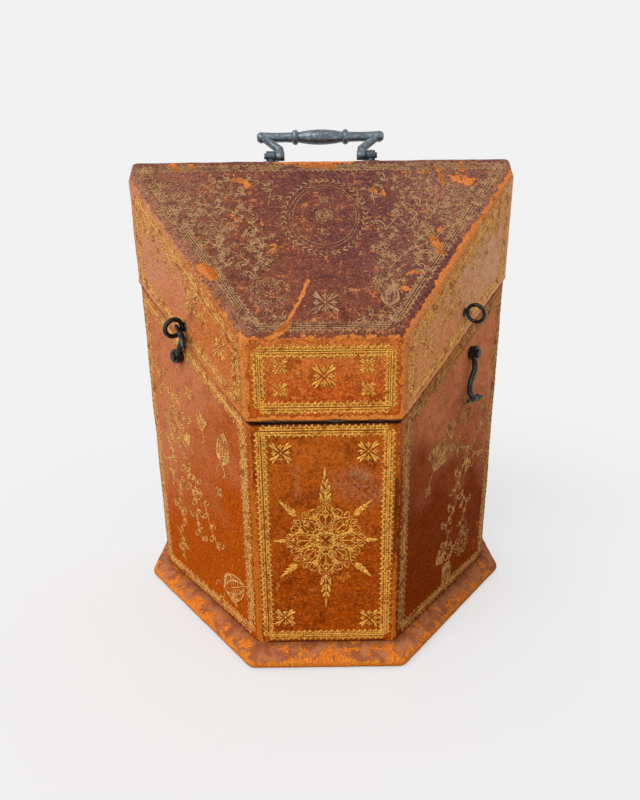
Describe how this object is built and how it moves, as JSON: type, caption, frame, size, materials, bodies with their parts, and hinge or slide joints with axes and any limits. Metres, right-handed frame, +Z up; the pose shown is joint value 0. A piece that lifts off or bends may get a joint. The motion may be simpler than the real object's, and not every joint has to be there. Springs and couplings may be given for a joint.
{
  "type": "silverware chest",
  "caption": "Canted leather-covered silverware chest with a sloping overhead lid, tiered slotted cutlery rack, carrying bail and hook-and-eye latches.",
  "frame": {"origin": "the point on the floor under the middle of the chest's overall box", "axes": "+X to the viewer's right, +Y from front to back, +Z up"},
  "size_m": [0.3288, 0.1806, 0.3974],
  "materials": {
    "tooled_leather": "red-brown calf with worn gilt tooling",
    "plinth_moulding": "softwood moulding under worn leather",
    "case_pine": "planed pine, aged",
    "rack_pine": "planed pine, aged",
    "rack_velvet": "green cotton velvet",
    "lining_velvet": "green cotton velvet",
    "handle_iron": "forged iron, blue-grey patina",
    "hinge_iron": "forged iron, dark patina",
    "latch_iron": "forged iron, dark patina"
  },
  "bodies": {
    "body": {"front_board": "case_pine", "right_canted_board": "case_pine", "right_return_board": "case_pine", "back_board": "case_pine", "left_return_board": "case_pine", "left_canted_board": "case_pine", "bottom_board": "case_pine", "body_leather_front": "tooled_leather", "body_leather_right": "tooled_leather", "body_leather_back": "tooled_leather", "body_leather_left": "tooled_leather", "plinth_front": "plinth_moulding", "plinth_right_canted": "plinth_moulding", "plinth_right_return": "plinth_moulding", "plinth_left_return": "plinth_moulding", "plinth_left_canted": "plinth_moulding", "front_tier_board": "rack_pine", "middle_tier_board": "rack_pine", "rear_tier_board": "rack_pine", "lower_partition": "rack_pine", "upper_partition": "rack_pine", "tier_battens": "rack_pine", "rack_velvet": "rack_velvet", "body_lining": "lining_velvet", "left_hinge_body_leaf": "hinge_iron", "right_hinge_body_leaf": "hinge_iron", "hinge_pins": "hinge_iron", "hinge_body_screws": "hinge_iron", "right_hook_pivot": "latch_iron", "left_hook_pivot": "latch_iron"},
    "lid": {"lid_front_board": "case_pine", "lid_right_canted_board": "case_pine", "lid_right_return_board": "case_pine", "lid_back_board": "case_pine", "lid_left_return_board": "case_pine", "lid_left_canted_board": "case_pine", "lid_slope_board": "case_pine", "lid_top_board": "case_pine", "lid_leather_front": "tooled_leather", "lid_leather_right": "tooled_leather", "lid_leather_back": "tooled_leather", "lid_leather_left": "tooled_leather", "lid_leather_slope": "tooled_leather", "lid_lining": "lining_velvet", "left_hinge_lid_leaf": "hinge_iron", "right_hinge_lid_leaf": "hinge_iron", "hinge_lid_screws": "hinge_iron", "right_eye": "latch_iron", "left_eye": "latch_iron", "right_handle_post": "handle_iron", "left_handle_post": "handle_iron", "handle_washers": "handle_iron", "handle_nuts": "handle_iron"},
    "bail": {"bail": "handle_iron"},
    "left_hook": {"left_hook": "latch_iron"},
    "right_hook": {"right_hook": "latch_iron"}
  },
  "joints": [
    {"name": "lid_hinge", "type": "hinge", "parent": "body", "child": "lid", "pos_m": [0, 0.08735, 0.30755], "axis": [-1, 0, 0], "range_deg": [0, 100]},
    {"name": "bail_swing", "type": "hinge", "parent": "lid", "child": "bail", "pos_m": [0, 0.0668, 0.3746], "axis": [1, 0, 0], "range_deg": [-40, 130]},
    {"name": "left_hook_swing", "type": "hinge", "parent": "body", "child": "left_hook", "pos_m": [-0.1107, -0.00684, 0.2248], "axis": [-0.7595, -0.6505, 0], "range_deg": [-157, 0]},
    {"name": "right_hook_swing", "type": "hinge", "parent": "body", "child": "right_hook", "pos_m": [0.11629, -0.0003, 0.2229], "axis": [-0.7595, 0.6505, 0], "range_deg": [-20, 131]}
  ]
}
